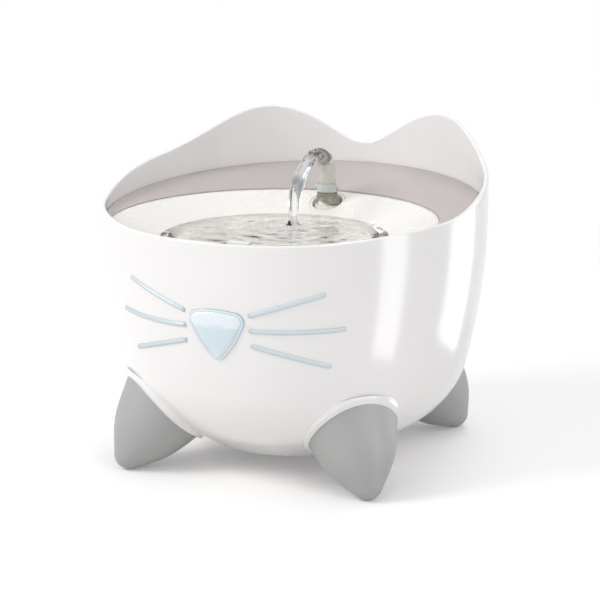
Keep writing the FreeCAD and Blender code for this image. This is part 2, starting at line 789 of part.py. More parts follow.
def spout():
    flange_top = "(seat_height + base_flange_thick)"
    spigot_top = f"({flange_top} + spigot_height)"
    base = [
        ("riser_radius + riser_gap", "seat_height - stem_drop"),
        ("stem_radius", "seat_height - stem_drop"),
        ("stem_radius", "seat_height"),
        ("base_flange_radius", "seat_height"),
        ("base_flange_radius", flange_top),
        ("spigot_radius", flange_top),
        ("spigot_radius", spigot_top),
        ("riser_radius + riser_gap", spigot_top),
    ]
    keep("spout_base", turned_body("spout_base_solid", base, y="spout_back"))

    neck_foot = f"({flange_top} + end_gap)"
    neck_top = f"({neck_foot} + neck_height)"
    neck = [
        ("spigot_radius + turn_gap", neck_foot),
        ("neck_foot_radius", neck_foot),
        ("neck_top_radius", neck_top),
        ("nozzle_radius + turn_gap", neck_top),
        ("nozzle_radius + turn_gap", f"{neck_top} - neck_roof"),
        ("spigot_radius + turn_gap", f"{neck_top} - neck_roof"),
    ]
    neck_blank = turned_body("spout_neck_blank", neck, {1: ("neck_height * 2", -1)}, y="spout_back")
    # the foot of the neck is cut on a slant, higher on the left
    slant = [
        ("-neck_foot_radius - 1", f"{neck_foot} - 1"),
        ("neck_foot_radius + 1", f"{neck_foot} - 1"),
        ("neck_foot_radius + 1", neck_foot),
        ("-neck_foot_radius - 1", f"{neck_foot} + neck_slant"),
    ]
    keep("spout_neck", cut("spout_neck_solid", neck_blank,
                           padded_body("neck_slant_cut", "XZ_Plane", slant, "4 * neck_foot_radius",
                                       y="spout_back + 2 * neck_foot_radius")))

    collar_top = f"({neck_top} + collar_height)"
    collar = [
        ("nozzle_radius + turn_gap", neck_top),
        ("collar_radius - collar_round", neck_top),
        ("collar_radius", f"{neck_top} + collar_round"),
        ("collar_radius", f"{collar_top} - collar_round"),
        ("collar_radius - collar_round", collar_top),
        ("nozzle_radius + turn_gap", collar_top),
    ]
    ring = turned_body("collar_ring", collar, {1: ("collar_round", 1), 3: ("collar_round", 1)}, y="spout_back")
    lug_z = f"{neck_top} + collar_height / 2"
    lug = cylinder("collar_lug", "lug_radius", "lug_length + 1", "-collar_radius - lug_length", "spout_back", lug_z,
                   ALONG_X)
    knob = cylinder("collar_knob", "lug_hole", "lug_length + 1", "collar_radius - 1", "spout_back", lug_z, ALONG_X)
    hole = cylinder("lug_way", "lug_hole", "lug_hole_depth + 1", "-collar_radius - lug_length - 1", "spout_back", lug_z,
                    ALONG_X)
    keep("spout_collar", cut("spout_collar_solid", fuse("spout_collar_blank", ring, lug, knob), hole))

    foot = measure(f"{neck_top} - neck_roof")
    back = measure("spout_back")
    straight = measure("nozzle_straight")
    bend = measure("nozzle_bend")
    turn = math.radians(measure("nozzle_turn"))
    centre = Vector(0, back - bend, straight)
    bend_point = centre + Vector(0, bend * math.cos(turn / 2), bend * math.sin(turn / 2))
    bend_end = centre + Vector(0, bend * math.cos(turn), bend * math.sin(turn))
    path = Part.Wire([
        Part.makeLine(Vector(0, back, foot), Vector(0, back, straight)),
        Part.Arc(Vector(0, back, straight), bend_point, bend_end).toShape(),
    ])

    def tube(radius):
        circle = Part.Wire(Part.Circle(Vector(0, back, foot), Vector(0, 0, 1), radius).toShape())
        return path.makePipeShell([circle], True, True)

    shoulder = Part.makeCylinder(measure("nozzle_shoulder"), measure("nozzle_shoulder_thick"),
                                 Vector(0, back, measure(collar_top)))
    shape = tube(measure("nozzle_radius")).fuse(shoulder).cut(tube(measure("nozzle_bore")))
    keep("spout_nozzle", drawn("spout_nozzle_solid", shape))

    riser = [
        ("riser_bore", "riser_foot"),
        ("riser_radius", "riser_foot"),
        ("riser_radius", f"{spigot_top} - riser_top_gap"),
        ("riser_bore", f"{spigot_top} - riser_top_gap"),
    ]
    keep("riser_tube", turned_body("riser_solid", riser, y="spout_back"))
    sleeve = [
        ("riser_radius + sleeve_gap", "sleeve_foot"),
        ("sleeve_radius", "sleeve_foot"),
        ("sleeve_radius", "sleeve_top"),
        ("riser_radius + sleeve_gap", "sleeve_top"),
    ]
    keep("riser_coupling", turned_body("sleeve_solid", sleeve, y="spout_back"))


# Filter

def slots(name, count, half, width, z, tall):
    # a row of slots along Y, spaced along X
    made = []
    for i in range(count):
        offset = i - (count - 1) / 2
        made.append(block(f"{name}_{i}", width, f"2 * {half}", tall, f"{offset} * slot_pitch - ({width}) / 2",
                          f"filter_front - {half}", z))
    return made


def filter_parts():
    inner = "(holder_radius - holder_wall)"
    outer = long_round("holder_outer", "holder_radius", "filter_half", "holder_top - holder_foot", "filter_front",
                       "holder_foot")
    wide_flange = long_round("holder_rim", "holder_flange", "filter_half", "holder_flange_thick", "filter_front",
                             "floor_height")
    flat_floor = cylinder("flat_floor", "floor_radius - holder_gap", 20, "0", "dish_back", "floor_height - 5")
    flange = common("holder_flange_solid", wide_flange, flat_floor)
    room = long_round("holder_room", inner, "filter_half", 60, "filter_front", "holder_foot + holder_floor")
    ways = slots("holder_slot", 7, "slot_half", "slot_width", "holder_foot - 1", "holder_floor + 2")
    keep("filter_holder", cut("holder_solid", fuse("holder_blank", outer, flange), room, *ways))

    cup_radius = f"({inner} - cup_gap)"
    cup_foot = "(holder_foot + holder_floor)"
    cup = long_round("cup_outer", cup_radius, "filter_half", f"holder_top - {cup_foot}", "filter_front", cup_foot)
    cup_room = long_round("cup_room", f"{cup_radius} - cup_wall", "filter_half", 60, "filter_front",
                          f"{cup_foot} + cup_floor")
    cup_ways = slots("cup_slot", 7, "slot_half", "slot_width", f"{cup_foot} - 1", "cup_floor + 2")
    keep("filter_cup", cut("cup_solid", cup, cup_room, *cup_ways))

    plate = long_round("cap_plate", "cap_radius", "filter_half", "cap_thick", "filter_front", "holder_top")
    cap_ways = slots("cap_slot", 7, "slot_half", "slot_width", "holder_top - 1", "cap_thick + 2")
    pull_outer = block("pull_outer", "2 * pull_half", "pull_width", "pull_height", "-pull_half",
                       "filter_front - pull_width / 2", "holder_top + cap_thick")
    pull_inner = block("pull_inner", "2 * (pull_half - pull_thick)", 20, "pull_height - pull_thick",
                       "-(pull_half - pull_thick)", "filter_front - 10", "holder_top + cap_thick")
    slotted = cut("cap_slotted", plate, *cap_ways)
    keep("filter_cap", fuse("cap_solid", slotted, cut("pull", pull_outer, pull_inner)))

    media_radius = f"({cup_radius} - cup_wall - media_gap)"
    cotton = long_round("cotton_solid", media_radius, "filter_half", "cotton_thick", "filter_front",
                        "holder_top - media_gap - cotton_thick")
    keep("cotton_pad", cotton)
    carbon_foot = f"({cup_foot} + cup_floor)"
    carbon = long_round("carbon_solid", media_radius, "filter_half",
                        f"holder_top - 2 * media_gap - cotton_thick - {carbon_foot}", "filter_front", carbon_foot)
    keep("carbon_bed", carbon)


# Pump: its motor axis runs along Y, with the chamber at the back under the spout

def along_y(name, radius, start, end, x="0", z="pump_axis"):
    return cylinder(name, radius, f"({end}) - ({start})", x, start, z, ALONG_Y)


def pump():
    corners = [
        ("-pump_half", "pump_foot"),
        ("pump_half", "pump_foot"),
        ("pump_half", "pump_top - pump_corner"),
        ("pump_half - pump_corner", "pump_top"),
        ("pump_corner - pump_half", "pump_top"),
        ("-pump_half", "pump_top - pump_corner"),
    ]
    block_body = padded_body("pump_block", "XZ_Plane", corners, "pump_back - pump_front",
                             {2: ("pump_corner", 1), 4: ("pump_corner", 1)}, y="pump_back")
    well = along_y("rotor_well", "well_radius", "well_front", "pump_back + 5")
    bush_seat = along_y("rear_bush_seat", "bush_radius", "well_front - bush_depth", "well_front + 1")
    gland_seat = cylinder("gland_seat", "gland_radius", 4, "-pump_half - 1", "pump_front + 10", "pump_axis", ALONG_X)
    window_seat = cylinder("window_seat", "window_radius + inlay_gap", 10, "0", "window_front",
                           "pump_top - window_depth")
    cup_sockets = []
    for across, word in (("-cup_across", "left"), ("cup_across", "right")):
        for along, order in (("cup_first", "front"), ("cup_second", "rear")):
            cup_sockets.append(cylinder(f"socket_{order}_{word}", "cup_neck", "cup_plug + 1", across, along, "pump_foot - 1"))
            suction_cup(f"{order}_{word}_suction_cup", across, along)
    keep("pump_housing", cut("pump_housing_solid", block_body, well, bush_seat, gland_seat, window_seat, *cup_sockets))

    gland = cylinder("gland_flange", "gland_radius", 3, "-pump_half", "pump_front + 10", "pump_axis", ALONG_X)
    taper = doc.addObject("Part::Cone", "gland_taper")
    bind(taper, "Radius1", "gland_tip")
    bind(taper, "Radius2", "gland_radius")
    bind(taper, "Height", "gland_length")
    put(taper, "-pump_half - gland_length", "pump_front + 10", "pump_axis", ALONG_X)
    way = cylinder("gland_way", "gland_bore", "gland_length", "-pump_half - gland_length", "pump_front + 10",
                   "pump_axis", ALONG_X)
    keep("pump_gland", cut("gland_solid", fuse("gland_blank", gland, taper), way))
    keep("light_window", cylinder("window_solid", "window_radius", "window_depth + 0.8", "0", "window_front",
                                  "pump_top - window_depth"))
    rotor()
    chamber_cover()
    strainer()


def suction_cup(node, across, along):
    # a stem pressed up into the housing over a flared cup that stands on the floor of the bowl
    floor = "(base_height + shell_wall)"
    stem = cylinder(node + "_stem", "cup_neck - shaft_gap", f"pump_foot + cup_plug - {floor} - 1", across, along,
                    f"{floor} + 1")
    cup = doc.addObject("Part::Cone", node + "_skirt")
    bind(cup, "Radius1", "cup_radius")
    bind(cup, "Radius2", "cup_neck")
    bind(cup, "Height", f"pump_foot - {floor}")
    put(cup, across, along, floor)
    hollow = doc.addObject("Part::Cone", node + "_hollow")
    bind(hollow, "Radius1", "cup_radius - 1.5")
    bind(hollow, "Radius2", "0.5")
    bind(hollow, "Height", 1.4)
    put(hollow, across, along, floor)
    keep(node, cut(node + "_solid", fuse(node + "_blank", stem, cup), hollow))


def rotor():
    magnet = along_y("magnet", "magnet_radius", "magnet_front", "magnet_back")
    hub = along_y("rotor_hub", "hub_radius", "magnet_back", "blade_back")
    disc = along_y("rotor_disc", "blade_radius", "pump_back + 0.6", "pump_back + 0.6 + rotor_disc_thick")
    blades = []
    for i in range(6):
        blade = doc.addObject("Part::Box", f"blade_{i}")
        bind(blade, "Length", "blade_radius - 1")
        bind(blade, "Width", "blade_back - pump_back - 1")
        bind(blade, "Height", "blade_thick")
        turn = Rotation(Vector(0, 1, 0), 60 * i)
        corner = turn.multVec(Vector(0, 0, -measure("blade_thick") / 2))
        blade.Placement = Placement(corner + Vector(0, measure("pump_back + 1"), measure("pump_axis")), turn)
        blades.append(blade)
    bore = along_y("rotor_bore", "shaft_radius + shaft_gap", "magnet_front - 5", "blade_back + 5")
    keep("pump_rotor", cut("rotor_solid", fuse("rotor_blank", magnet, hub, disc, *blades), bore))
    keep("rotor_shaft", along_y("shaft_solid", "shaft_radius", "well_front - 1", "shaft_back"))
    rear = along_y("rear_bush_blank", "bush_radius - shaft_gap", "well_front - bush_depth", "well_front")
    rear_bore = along_y("rear_bush_bore", "shaft_radius + shaft_gap", "well_front - 1", "well_front + 1")
    keep("rear_bush", cut("rear_bush_solid", rear, rear_bore))
    front = along_y("front_bush_blank", "bush_radius - shaft_gap", "chamber_back", "chamber_back + bush_depth")
    front_bore = along_y("front_bush_bore", "shaft_radius + shaft_gap", "chamber_back - 1", "shaft_back")
    keep("front_bush", cut("front_bush_solid", front, front_bore))


def chamber_cover():
    disc = along_y("cover_disc", "cover_radius", "pump_back", "cover_back")
    nipple = cylinder("nipple", "nipple_radius", "nipple_top - pump_axis", "0", "spout_back", "pump_axis")
    chamber = along_y("chamber", "chamber_radius", "pump_back - 1", "chamber_back")
    outlet = cylinder("outlet", "nipple_bore", "nipple_top - pump_axis + 1", "0", "spout_back", "pump_axis")
    bush_hub = along_y("bush_hub", "bush_radius + 1.4", "chamber_back", "cover_back")
    inlet = cut("inlet", along_y("inlet_round", "inlet_radius", "chamber_back - 1", "cover_back + 1"), bush_hub)
    spokes = []
    for i in range(3):
        spoke = doc.addObject("Part::Box", f"spoke_{i}")
        bind(spoke, "Length", "chamber_radius")
        bind(spoke, "Width", "cover_back - chamber_back")
        bind(spoke, "Height", "inlet_rib")
        turn = Rotation(Vector(0, 1, 0), 90 + 120 * i)
        corner = turn.multVec(Vector(0, 0, -measure("inlet_rib") / 2))
        spoke.Placement = Placement(corner + Vector(0, measure("chamber_back"), measure("pump_axis")), turn)
        spokes.append(spoke)
    ways = cut("inlet_ways", inlet, *spokes)
    bush_seat = along_y("front_bush_seat", "bush_radius", "chamber_back - 1", "chamber_back + bush_depth")
    keep("chamber_cover", cut("cover_solid", fuse("cover_blank", disc, nipple), chamber, outlet, ways, bush_seat))


def strainer():
    # a shallow box over the chamber's inlet, slotted at the back, with the flow slider on two rails
    front = "(cover_back + strainer_gap)"
    back = f"({front} + strainer_depth)"
    foot = "(pump_axis + strainer_lift - strainer_height / 2)"
    shell_box = block("strainer_box", "2 * strainer_half", "strainer_depth", "strainer_height", "-strainer_half",
                      front, foot)
    room = block("strainer_room", "2 * (strainer_half - strainer_wall)", "strainer_depth",
                 "strainer_height - 2 * strainer_wall", "-(strainer_half - strainer_wall)",
                 f"{front} - strainer_wall", f"{foot} + strainer_wall")
    ways = []
    for i in range(2):
        ways.append(block(f"strainer_way_{i}", "2 * (strainer_half - 4)", 10, "strainer_slot",
                          "-(strainer_half - 4)", f"{back} - 5",
                          f"{foot} + 3.2 + {i} * strainer_pitch"))
    window = block("flow_window", "slider_long / 2", 10, "slider_tall - 2", "slider_left + 2", f"{back} - 5",
                   f"{foot} + strainer_height - slider_tall - 3")
    rail_z = [f"{foot} + strainer_height - slider_tall - 4 - rail_tall - strainer_gap",
              f"{foot} + strainer_height - 4 + strainer_gap"]
    rails = [block(f"rail_{i}", "2 * strainer_half", "slider_thick + strainer_gap", "rail_tall", "-strainer_half",
                   back, z) for i, z in enumerate(rail_z)]
    keep("strainer_cover", cut("strainer_solid", fuse("strainer_blank", shell_box, *rails), room, *ways, window))
    foam = block("foam_solid", "2 * (strainer_half - strainer_wall - media_gap)", "foam_thick",
                 "strainer_height - 2 * (strainer_wall + media_gap)", "-(strainer_half - strainer_wall - media_gap)",
                 f"{back} - strainer_wall - media_gap - foam_thick", f"{foot} + strainer_wall + media_gap")
    keep("prefilter_foam", foam)
    plate = block("slider_plate", "slider_long", "slider_thick", "slider_tall", "slider_left",
                  f"{back} + strainer_gap / 2", f"{foot} + strainer_height - slider_tall - 4")
    thumb = block("slider_thumb", "1.6", "2.4", "slider_tall - 1", "slider_left + slider_long / 2",
                  f"{back} + strainer_gap / 2 + slider_thick", f"{foot} + strainer_height - slider_tall - 3.5")
    keep("flow_slider", fuse("slider_solid", plate, thumb))


shell()
feet()
nose()
whiskers()
grommet()
dish()
seal()
deck()
spout()
filter_parts()
pump()
doc.recompute()

# Checks and files

faults = [item.Name for item in doc.Objects if {"Invalid", "Error"} & set(item.State)]
for node_name, item in NODES.items():
    if item.Shape.isNull() or not item.Shape.isValid() or not item.Shape.Solids:
        faults.append(node_name)
if faults:
    raise RuntimeError(f"these failed: {faults}")

os.makedirs("parts", exist_ok=True)
for node_name, item in NODES.items():
    item.Shape.exportStep(f"parts/{node_name}.step")
    corner = item.Shape.BoundBox
    print(f"{node_name}: {len(item.Shape.Solids)} solid, {item.Shape.Volume:.0f} mm3, "
          f"x {corner.XMin:.1f}..{corner.XMax:.1f} y {corner.YMin:.1f}..{corner.YMax:.1f} "
          f"z {corner.ZMin:.1f}..{corner.ZMax:.1f}")
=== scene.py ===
import json
import math

import bmesh
import bpy
from mathutils import Matrix, Vector, noise
from mathutils.bvhtree import BVHTree


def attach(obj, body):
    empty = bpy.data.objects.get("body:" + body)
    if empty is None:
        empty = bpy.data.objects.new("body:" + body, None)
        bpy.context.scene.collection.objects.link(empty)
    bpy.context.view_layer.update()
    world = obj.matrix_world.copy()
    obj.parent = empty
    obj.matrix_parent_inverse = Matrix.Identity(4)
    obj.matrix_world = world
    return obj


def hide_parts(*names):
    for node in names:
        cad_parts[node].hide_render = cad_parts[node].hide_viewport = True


# Pet water fountain: finishes for the moulded parts, and the water that runs over them.
# Metres, the nose looks along -Y.

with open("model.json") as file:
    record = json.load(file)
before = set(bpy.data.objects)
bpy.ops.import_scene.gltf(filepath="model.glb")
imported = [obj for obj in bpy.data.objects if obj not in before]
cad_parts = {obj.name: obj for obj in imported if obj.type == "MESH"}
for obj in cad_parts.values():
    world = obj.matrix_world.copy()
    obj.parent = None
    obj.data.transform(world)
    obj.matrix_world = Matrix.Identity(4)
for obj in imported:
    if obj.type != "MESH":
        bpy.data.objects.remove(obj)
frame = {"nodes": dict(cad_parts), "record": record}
nodes = frame["nodes"]
scene = bpy.context.scene
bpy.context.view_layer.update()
print("frame loaded:", len(nodes), "nodes")

cameraView = {
    "place": (0.5253, -1.2269, 0.4264),
    "right": (0.91996, 0.39195, -0.00730),
    "up": (-0.08649, 0.22110, 0.97141),
    "back": (0.38235, -0.89302, 0.23730),
    "lens": 125.66,
    "sensor": 36,
    "shiftX": 0.0077,
    "clip": (0.05, 50),
}


def setCamera(look):
    data = bpy.data.cameras.new("camera")
    data.sensor_width = look["sensor"]
    data.lens = look["lens"]
    data.shift_x = look["shiftX"]
    data.clip_start, data.clip_end = look["clip"]
    camera = bpy.data.objects.new("camera", data)
    scene.collection.objects.link(camera)
    turn = Matrix((look["right"], look["up"], look["back"])).transposed()
    camera.matrix_world = Matrix.Translation(look["place"]) @ turn.to_4x4()
    scene.camera = camera


setCamera(cameraView)

studio = {
    "floorSize": 12,
    "floorDrop": 0.0003,        # keeps the paper clear of the feet
    "floorTint": (0.90, 0.89, 0.88),
    "floorGlow": 0.17,          # added near the object, so that its shadow stays soft
    "fadeFrom": 0.24,           # the paper turns plain white between these distances
    "fadeTo": 0.80,
    "daylight": (0.97, 0.98, 1.0),
    "daylightLevel": 0.60,
    # place, aim, width, height, watts, and whether only glossy finishes show it
    "lamps": {
        "keyLamp": ((-1.25, -1.05, 1.25), (0, 0, 0.08), 0.8, 0.8, 17, False),
        "fillLamp": ((1.20, -0.95, 1.10), (0, 0, 0.12), 0.9, 0.9, 5, False),
        "topLamp": ((0.10, 0.45, 1.60), (0, 0, 0.10), 0.8, 0.8, 5, False),
        "sideStrip": ((0.222, -0.092, 0.175), (0.08, -0.072, 0.175), 0.052, 0.35, 0.20, True),
        "sidePanel": ((0.232, 0.110, 0.175), (0.10, -0.02, 0.175), 0.10, 0.35, 0.30, True),
    },
}


def seenDirectly(tree):
    # 1 for camera, glossy and transmission rays, which see the white room
    ray = tree.nodes.new("ShaderNodeLightPath")
    value = ray.outputs["Is Camera Ray"]
    for kind in ("Is Glossy Ray", "Is Transmission Ray"):
        either = tree.nodes.new("ShaderNodeMath")
        either.operation = "MAXIMUM"
        tree.links.new(value, either.inputs[0])
        tree.links.new(ray.outputs[kind], either.inputs[1])
        value = either.outputs[0]
    return value


def mixed(tree, share, first, second):
    pick = tree.nodes.new("ShaderNodeMixShader")
    tree.links.new(share, pick.inputs[0])
    tree.links.new(first, pick.inputs[1])
    tree.links.new(second, pick.inputs[2])
    return pick.outputs[0]


def glowing(tree, kind, strength, tint=(1, 1, 1)):
    glow = tree.nodes.new(kind)
    glow.inputs["Color"].default_value = (*tint, 1)
    glow.inputs["Strength"].default_value = strength
    return glow.outputs[0]


def awayFromObject(tree, near, far):
    spot = tree.nodes.new("ShaderNodeTexCoord")
    reach = tree.nodes.new("ShaderNodeVectorMath")
    reach.operation = "LENGTH"
    tree.links.new(spot.outputs["Object"], reach.inputs[0])
    fade = tree.nodes.new("ShaderNodeMapRange")
    fade.interpolation_type = "SMOOTHSTEP"
    fade.inputs["From Min"].default_value = near
    fade.inputs["From Max"].default_value = far
    tree.links.new(reach.outputs["Value"], fade.inputs["Value"])
    return fade.outputs[0]


def setFloor(look):
    bpy.ops.mesh.primitive_plane_add(size=look["floorSize"], location=(0, 0, -look["floorDrop"]))
    floor = bpy.context.object
    floor.name = "floor"
    material = bpy.data.materials.new("studioFloor")
    material.use_nodes = True
    tree = material.node_tree
    tree.nodes.clear()
    paper = tree.nodes.new("ShaderNodeBsdfDiffuse")
    paper.inputs["Color"].default_value = (*look["floorTint"], 1)
    lit = tree.nodes.new("ShaderNodeAddShader")
    tree.links.new(paper.outputs[0], lit.inputs[0])
    tree.links.new(glowing(tree, "ShaderNodeEmission", look["floorGlow"]), lit.inputs[1])
    white = glowing(tree, "ShaderNodeEmission", 1)
    faded = mixed(tree, awayFromObject(tree, look["fadeFrom"], look["fadeTo"]), lit.outputs[0], white)
    out = tree.nodes.new("ShaderNodeOutputMaterial")
    tree.links.new(mixed(tree, seenDirectly(tree), paper.outputs[0], faded), out.inputs[0])
    floor.data.materials.append(material)


def setWorld(look):
    world = bpy.data.worlds.new("studioRoom")
    scene.world = world
    world.use_nodes = True
    tree = world.node_tree
    tree.nodes.clear()
    soft = glowing(tree, "ShaderNodeBackground", look["daylightLevel"], look["daylight"])
    white = glowing(tree, "ShaderNodeBackground", 1)
    out = tree.nodes.new("ShaderNodeOutputWorld")
    tree.links.new(mixed(tree, seenDirectly(tree), soft, white), out.inputs[0])


def setLamps(lamps):
    for name, (place, aim, width, height, watts, glossOnly) in lamps.items():
        data = bpy.data.lights.new(name, "AREA")
        data.shape = "RECTANGLE"
        data.size = width
        data.size_y = height
        data.energy = watts
        lamp = bpy.data.objects.new(name, data)
        scene.collection.objects.link(lamp)
        lamp.location = place
        lamp.rotation_euler = (Vector(aim) - Vector(place)).to_track_quat("-Z", "Y").to_euler()
        lamp.visible_camera = False
        lamp.visible_transmission = not glossOnly
        lamp.visible_diffuse = not glossOnly


setFloor(studio)
setWorld(studio)
setLamps(studio["lamps"])
scene.view_settings.view_transform = "Standard"
print("studio ready:", len(studio["lamps"]), "lamps")


# Finishes
def startFinish(name, sockets):
    material = bpy.data.materials.new(name)
    material.use_nodes = True
    tree = material.node_tree
    shader = tree.nodes["Principled BSDF"]
    for socket, value in sockets.items():
        shader.inputs[socket].default_value = value
    return material, tree, shader


def placeOf(tree):
    return tree.nodes.new("ShaderNodeTexCoord").outputs["Object"]


def cloud(tree, size, detail=3.0):
    # noise whose blotches are about size metres across
    made = tree.nodes.new("ShaderNodeTexNoise")
    made.inputs["Scale"].default_value = 1 / size
    made.inputs["Detail"].default_value = detail
    tree.links.new(placeOf(tree), made.inputs["Vector"])
    return made.outputs["Fac"]


def cells(tree, size):
    made = tree.nodes.new("ShaderNodeTexVoronoi")
    made.inputs["Scale"].default_value = 1 / size
    tree.links.new(placeOf(tree), made.inputs["Vector"])
    return made.outputs["Distance"]


def between(tree, value, low, high, outLow, outHigh):
    made = tree.nodes.new("ShaderNodeMapRange")
    for socket, number in zip(("From Min", "From Max", "To Min", "To Max"), (low, high, outLow, outHigh)):
        made.inputs[socket].default_value = number
    tree.links.new(value, made.inputs["Value"])
    return made.outputs[0]


def tintBy(tree, shader, value, stops):
    # stops: place from 0 to 1, and colour
    ramp = tree.nodes.new("ShaderNodeValToRGB")
    while len(ramp.color_ramp.elements) < len(stops):
        ramp.color_ramp.elements.new(0.5)
    for element, (place, tint) in zip(ramp.color_ramp.elements, stops):
        element.position = place
        element.color = (*tint, 1)
    tree.links.new(value, ramp.inputs[0])
    tree.links.new(ramp.outputs[0], shader.inputs["Base Color"])


def roughen(tree, shader, value, depth):
    bump = tree.nodes.new("ShaderNodeBump")
    bump.inputs["Distance"].default_value = depth
    tree.links.new(value, bump.inputs["Height"])
    tree.links.new(bump.outputs[0], shader.inputs["Normal"])


moldMarks = {
    "driftSize": 0.05,          # blotches of darker and paler plastic
    "driftStops": (0.35, 0.65),
    "glossSize": 0.012,
    "glossFrom": (0.3, 0.7),
    "grainDetail": 2,
}


def moldedPlastic(name, tint, drift, gloss, grain, sockets):
    # tint drifts slowly, gloss varies, and the mould leaves a fine grain: (size, depth)
    material, tree, shader = startFinish(name, sockets)
    darker = tuple(c * (1 - drift) for c in tint)
    paler = tuple(min(1, c * (1 + drift)) for c in tint)
    stops = list(zip(moldMarks["driftStops"], (darker, paler)))
    tintBy(tree, shader, cloud(tree, moldMarks["driftSize"]), stops)
    polish = between(tree, cloud(tree, moldMarks["glossSize"]), *moldMarks["glossFrom"], *gloss)
    tree.links.new(polish, shader.inputs["Roughness"])
    roughen(tree, shader, cloud(tree, grain[0], moldMarks["grainDetail"]), grain[1])
    return material


# name, tint, drift, gloss from and to, grain size and depth, other sockets
moldedLooks = {
    "white_shell": ("whiteGlossPlastic", (0.86, 0.845, 0.835), 0.006, (0.15, 0.19), (0.0016, 0.000003),
                    {"Coat Weight": 0.35, "Coat Roughness": 0.13}),
    "grey_rubber": ("greyRubber", (0.39, 0.39, 0.385), 0.03, (0.42, 0.52), (0.0007, 0.00002),
                    {"Specular IOR Level": 0.5}),
    "deck_grey": ("warmGreyPlastic", (0.48, 0.435, 0.425), 0.012, (0.38, 0.46), (0.0005, 0.000012), {}),
    "dish_cream": ("creamPlastic", (0.845, 0.825, 0.785), 0.003, (0.24, 0.32), (0.0018, 0.000003), {}),
    # dark brownish tint on the spout's neck: painted shade on clear plastic
    "smoke_plastic": ("neckPaintedShade", (0.30, 0.27, 0.22), 0.05, (0.22, 0.30), (0.0010, 0.000008),
                      {"Transmission Weight": 0.20, "IOR": 1.49}),
    "collar_grey": ("lightGreyPlastic", (0.54, 0.56, 0.56), 0.02, (0.30, 0.38), (0.0006, 0.000010), {}),
    "clear_plastic": ("clearPlastic", (0.90, 0.885, 0.82), 0.010, (0.10, 0.16), (0.0020, 0.000006),
                      {"Transmission Weight": 0.50, "IOR": 1.49}),
    "clear_silicone": ("clearSilicone", (0.80, 0.81, 0.81), 0.015, (0.40, 0.50), (0.0010, 0.000010),
                       {"Transmission Weight": 0.45, "IOR": 1.41}),
    "pump_black": ("satinBlackPlastic", (0.030, 0.030, 0.033), 0.08, (0.40, 0.52), (0.0004, 0.00002), {}),
    "magnet_grey": ("bondedMagnet", (0.10, 0.10, 0.105), 0.10, (0.35, 0.50), (0.0003, 0.000015),
                    {"Metallic": 0.3}),
    "ceramic": ("polishedCeramic", (0.88, 0.87, 0.83), 0.01, (0.08, 0.12), (0.0010, 0.000003), {}),
    "filter_white": ("satinWhitePlastic", (0.84, 0.84, 0.83), 0.012, (0.36, 0.44), (0.0006, 0.000010), {}),
    # for the spout's foot alone: a paler copy of the clear plastic with less transmission, painted light that
    # lifts the foot out of the seat's shade
    "clear_foot_painted_light": ("clearFootPaintedLight", (0.95, 0.94, 0.90), 0.008, (0.08, 0.12), (0.0020, 0.000006),
                   {"Transmission Weight": 0.10, "IOR": 1.49, "Coat Weight": 0.3}),
}

whiskerLook = {
    "pale": (0.61, 0.70, 0.73),
    "deep": (0.42, 0.50, 0.54),
    "endShadeTint": (0.50, 0.56, 0.59),
    "endFrom": 0.0222,          # distance from the middle plane where the darker end, painted shade, stops
    "endShadeWide": 0.0012,
    "facing": 0.35,
    "facingStops": (0.15, 0.85),
    "sockets": {"Roughness": 0.20, "Coat Weight": 0.3, "IOR": 1.49},
    "ripple": (0.002, 1, 0.00001),
}


def whiskerFinish(look):
    # pale rod with painted shade: deeper towards its sides, and darker at the rounded end by the nose
    material, tree, shader = startFinish("paleBlueRod", look["sockets"])
    side = tree.nodes.new("ShaderNodeLayerWeight")
    side.inputs["Blend"].default_value = look["facing"]
    tintBy(tree, shader, side.outputs["Facing"], list(zip(look["facingStops"], (look["pale"], look["deep"]))))
    split = tree.nodes.new("ShaderNodeSeparateXYZ")
    tree.links.new(placeOf(tree), split.inputs[0])
    across = tree.nodes.new("ShaderNodeMath")
    across.operation = "ABSOLUTE"
    tree.links.new(split.outputs[0], across.inputs[0])
    paintedEndShade = between(tree, across.outputs[0], look["endFrom"], look["endFrom"] + look["endShadeWide"], 1, 0)
    blend = tree.nodes.new("ShaderNodeMixRGB")
    blend.inputs["Color2"].default_value = (*look["endShadeTint"], 1)
    body = shader.inputs["Base Color"].links[0].from_socket
    tree.links.new(paintedEndShade, blend.inputs["Fac"])
    tree.links.new(body, blend.inputs["Color1"])
    tree.links.new(blend.outputs[0], shader.inputs["Base Color"])
    roughen(tree, shader, cloud(tree, *look["ripple"][:2]), look["ripple"][2])
    return material


# name, size, colours of the gaps and of the grains, depth, roughness
grainLooks = {
    "carbon": ("carbonGranules", 0.0016, (0.008, 0.008, 0.009), (0.05, 0.05, 0.05), -0.0006, 0.6),
    "foam_black": ("openFoam", 0.0011, (0.01, 0.01, 0.011), (0.07, 0.07, 0.075), -0.0005, 0.9),
    "cotton": ("needledFelt", 0.0013, (0.72, 0.71, 0.68), (0.90, 0.89, 0.87), -0.0003, 0.95),
}
grainStops = (0.1, 0.7)         # from a grain's middle to the gap


def grains(name, size, dark, light, depth, roughness):
    # loose granules, foam or felt: cells of that size with shaded gaps
    material, tree, shader = startFinish(name, {"Roughness": roughness})
    spots = cells(tree, size)
    tintBy(tree, shader, spots, list(zip(grainStops, (light, dark))))
    roughen(tree, shader, spots, depth)
    return material
